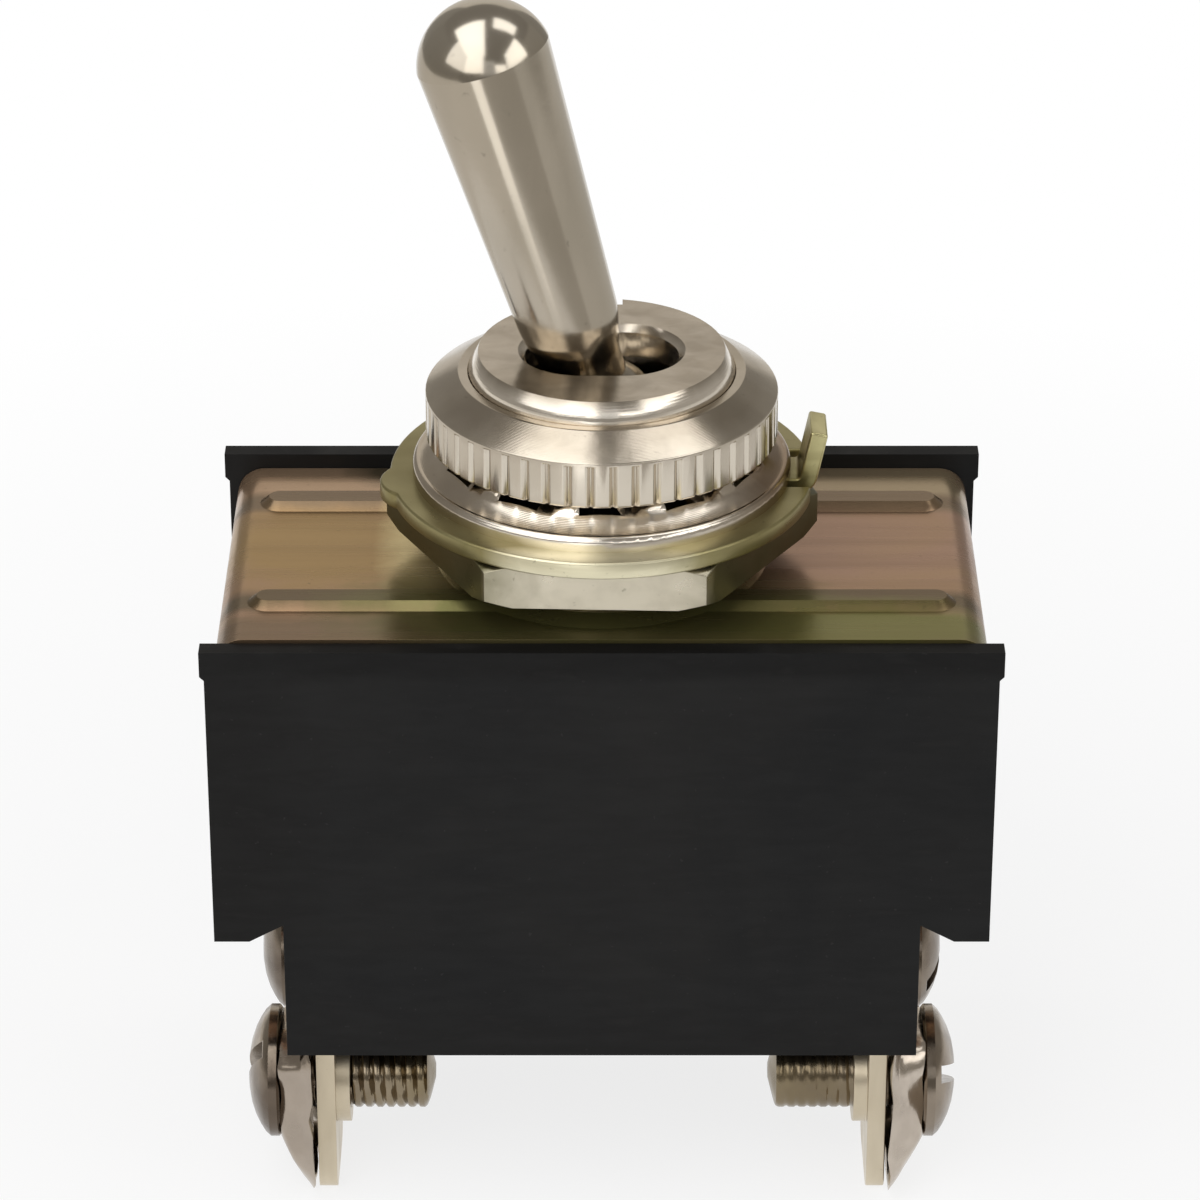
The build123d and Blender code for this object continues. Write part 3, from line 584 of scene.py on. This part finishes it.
def make_studio():
    """Floor, cards, walls and lamps. A softbox has a place, a size and a point it aims at."""
    make_floor()
    near_floor = floor_height + 0.2
    reflector("front_card", sector(-4, 55, 91, 900, near_floor), 0.5, (1, 0.96, 0.9))
    reflector("strip_card", sector(-20, -4, 76, 500, near_floor), 1.75)
    reflector("left_card", sector(-150, -20, 60, 900, near_floor), 0.78, (1, 0.97, 0.92))
    reflector("right_card", sector(55, 150, 66, 900, near_floor), 0.66, (1, 0.98, 0.94))
    reflector("front_panel", [(-24, -268, 60), (74, -268, 60), (74, -268, 180),
                              (-24, -268, 180)], 0.62)
    room, low, high = 330, floor_height + 0.4, 260
    corners = [(-room, -room), (room, -room), (room, room), (-room, room)]
    reflector("ceiling", [(x, y, high) for x, y in corners], 0.25, (1, 0.94, 0.86))
    walls = (("front_wall", 0.24), ("right_wall", 0.34), ("rear_wall", 0.3), ("left_wall", 0.28))
    for i, (name, strength) in enumerate(walls):
        first, second = corners[i], corners[(i + 1) % 4]
        reflector(name, [(*first, low), (*second, low), (*second, high), (*first, high)],
                  strength, (1, 0.95, 0.87))
    reflector("backdrop", [(-130, room - 2, low), (130, room - 2, low), (130, room - 2, high),
                           (-130, room - 2, high)], 0.72, (1, 0.95, 0.87))
    softbox("left_overhead", (-106, -112, 240), (188, 316), (-106, -111, 0))
    softbox("left_window", (-200, -165, 155), (210, 170), (0, -165, 155), 1.3)
    softbox("front_window", (-112, -270, 155), (176, 170), (-112, 0, 155))
    softbox("right_overhead", (100, 32, 235), (140, 85), (100, 33, 0), 1.7)
    softbox("corner_window", (132, -270, 112), (115, 66), (132, 0, 112))
    softbox("right_window", (190, -140, 170), (220, 150), (0, -140, 170))
    world = bpy.data.worlds.new("studio")
    bpy.context.scene.world = world
    world.use_nodes = True
    tree = world.node_tree
    background = tree.nodes["Background"]
    background.inputs["Color"].default_value = (1, 1, 1, 1)
    tree.links.new(between(tree, seen_rays(tree), 0.32, 1.0, 0.0, 1.0),
                   background.inputs["Strength"])


def make_camera():
    """The camera at the photograph's angle."""
    data = bpy.data.cameras.new("camera")
    data.sensor_width = sensor_width
    data.lens = lens
    data.clip_start = 0.01
    camera = linked("camera", data)
    tilt = radians(view_elevation)
    back = Vector((0, -cos(tilt), sin(tilt)))
    camera.location = (view_target + back * view_distance) * mm
    camera.rotation_euler = (radians(90 - view_elevation), 0, 0)
    bpy.context.scene.camera = camera
    bpy.context.scene.view_settings.view_transform = "Standard"


# Pieces

def cut_away(shape, tool_shape):
    """The mesh of a shape with a tool's shape cut out of it."""
    pieces = []
    for made in (shape, tool_shape):
        mesh = bpy.data.meshes.new("blank")
        made.to_mesh(mesh)
        made.free()
        pieces.append(linked("blank", mesh))
    cut = pieces[0].modifiers.new("cut", "BOOLEAN")
    cut.object = pieces[1]
    cut.operation = "DIFFERENCE"
    cut.solver = "EXACT"
    mesh = applied(pieces[0])
    for piece in pieces:
        bpy.data.objects.remove(piece)
    return mesh


def arc(centre, radius, start, end, steps):
    """Points of radius and height on an arc, with angles from the horizontal in degrees."""
    angles = [radians(start + (end - start) * i / steps) for i in range(steps + 1)]
    return [(radius * cos(a), centre + radius * sin(a)) for a in angles]


def lever_profile(stem_end):
    """The lever upright about its pivot, from the stem's end to the top of the dome."""
    stem_chamfer, neck_blend, grip_blend = 0.1, 0.25, 0.5
    end_radius, plain_neck = 0.01, 0.3
    dome_gap, dome_end = 0.4, 89.7
    hub_low = -degrees(acos(stem_radius / hub_radius))
    hub_high = degrees(acos(neck_radius / hub_radius))
    rows = [(end_radius, stem_end), (stem_radius - stem_chamfer, stem_end),
            (stem_radius, stem_end + stem_chamfer)]
    rows += arc(0, hub_radius, hub_low, hub_high, 24)
    rows.append((neck_radius, neck_end - plain_neck))
    rows += rounded((neck_radius, neck_end), (neck_radius, 0), grip_start, neck_blend)
    rows += rounded(grip_start, (neck_radius, neck_end), grip_end, grip_blend)
    for share in (0.15, 0.3, 0.45, 0.6, 0.75, 0.9, 0.985):
        rows.append(tuple(a + (b - a) * share for a, b in zip(grip_start, grip_end)))
    rows.append(grip_end)
    dome_radius = (grip_end[0]**2 + dome_height**2) / (2 * dome_height)
    centre = grip_end[1] + dome_height - dome_radius
    rise = degrees(acos(grip_end[0] / dome_radius))
    rows += arc(centre, dome_radius, rise + dome_gap, dome_end, 20)
    return rows


def rounded(corner, before, after, reach):
    """A corner of a profile taken off in a curve that starts and ends a reach away from it."""
    corner, before, after = Vector(corner), Vector(before), Vector(after)
    first = corner + (before - corner).normalized() * reach
    last = corner + (after - corner).normalized() * reach
    points = []
    for share in (0, 0.2, 0.4, 0.6, 0.8, 1):
        near, far = first.lerp(corner, share), corner.lerp(last, share)
        points.append(tuple(near.lerp(far, share)))
    return points


def make_lever():
    """The bat handle with its hub, its stem and the hole for the pin."""
    turned_steps, hole_steps, sharp_angle = 144, 32, 9
    lean = Matrix.Rotation(radians(-lever_lean), 4, "Y")
    place = Matrix.Translation(Vector((0, 0, pivot_height)) * mm) @ lean
    upright = place.inverted()
    stem_end = min((upright @ v.co).z for v in nodes["lever"].data.vertices) / mm
    profile = lever_profile(stem_end)
    shape = lathe(lambda turn: profile, turned_steps)
    hole = bmesh.new()
    bmesh.ops.create_cone(hole, cap_ends=True, segments=hole_steps,
                          radius1=pin_hole_radius * mm, radius2=pin_hole_radius * mm,
                          depth=4 * hub_radius * mm,
                          matrix=Matrix.Rotation(radians(90), 4, "X"))
    mesh = cut_away(shape, hole)
    mesh.transform(place)
    return finished(mesh, "lever_detail", "lever", sharp_angle)


def screw_profile(turn, depth):
    """Thread as a height over the shank, then the underside and the domed head."""
    pitch, point, steps = 0.5, 0.35, 96
    end_radius, end_share, plain_neck = 0.02, 0.2, 0.15
    crest_slope = 1.9          # above 1, so the crests are flat
    rim_inset, rim_chamfer = 0.15, 0.12
    rim_share, dome_share, dome_power = 0.33, 0.38, 2.6
    start = head_seat - screw_length - tab_face
    seat = head_seat - tab_face
    rows = [(end_radius, start)]
    for j in range(steps + 1):
        z = start + (seat - start - plain_neck) * j / steps
        phase = ((z - start) / pitch - turn) % 1
        crest = min(1.0, crest_slope * (1 - abs(2 * phase - 1)))
        fade = min(1.0, (z - start) / point * (1 - end_share) + end_share)
        rows.append(((screw_radius - depth * (1 - crest)) * fade, z))
    rows += [(screw_radius, seat), (screw_head_radius - rim_inset, seat),
             (screw_head_radius, seat + rim_chamfer),
             (screw_head_radius, seat + screw_head * rim_share)]
    for share in (0.93, 0.82, 0.68, 0.5, 0.3, 0.1, 0.01):
        rise = dome_share + (1 - dome_share) * (1 - share ** dome_power)
        rows.append((screw_head_radius * share, seat + screw_head * rise))
    return rows


def make_screw(pole, side):
    """A slotted screw with a domed head. The left ones show more of their thread."""
    slot_length, slot_width, slot_depth = 2.2 * screw_head_radius, 0.8, 0.75
    turned_steps, sharp_angle = 40, 40
    node = f"terminal_screw_{pole}_{side}"
    end = 1 if side == "right" else -1
    across = pole_offset if pole == "rear" else -pole_offset
    thread_depth = 0.08 if side == "right" else 0.17
    shape = lathe(lambda turn: screw_profile(turn, thread_depth), turned_steps)
    slot = bmesh.new()
    bmesh.ops.create_cube(slot, size=1)
    top = head_seat - tab_face + screw_head
    bmesh.ops.scale(slot, verts=slot.verts,
                    vec=(slot_length * mm, slot_width * mm, 2 * slot_depth * mm))
    bmesh.ops.translate(slot, verts=slot.verts, vec=(0, 0, top * mm))
    made = cut_away(shape, slot)
    turn = Matrix.Rotation(radians(90 * end), 4, "Y")
    place = Matrix.Translation(Vector((end * tab_face, across, screw_height)) * mm)
    slot_angle = 35 + 50 * end + 4 * across   # each screw stops at its own
    roll = Matrix.Rotation(radians(slot_angle), 4, "Z")
    made.transform(place @ turn @ roll)
    return finished(made, f"{node}_detail", node, sharp_angle)


def make_spring(joint):
    """A plunger's spring: the CAD node's mesh, shaded smooth, with a mesh of its own."""
    pole = joint["child"].split("_")[1]
    spring = softened(f"plunger_spring_{pole}", 0, sharp=50)
    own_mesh(spring)


# The switch in its studio

make_camera()
make_studio()
for node, cad in nodes.items():
    cad.data.materials.clear()
    cad.data.materials.append(material_for(node))
for node, width in (("base", 0.16), ("cover", 0.2), ("hex_nut", 0.18), ("keyed_washer", 0.12),
                    ("face_nut", 0.05), ("bushing", 0.08)):
    softened(node, width)
softened("lock_washer", 0, sharp=32)
make_lever()
for pole in ("front", "rear"):
    for kind in ("common_terminal", "contact_terminal"):
        softened(f"{kind}_{pole}", 0.1)
    for side in ("left", "right"):
        clamp = softened(f"clamp_washer_{pole}_{side}", 0.18, sharp=50)
        crumple(clamp, cuts=4, frequency=0.6, depth=0.22)
        make_screw(pole, side)

for joint in frame["record"]["behaviour"]["joints"]:
    if joint["type"] == "slide":
        make_spring(joint)
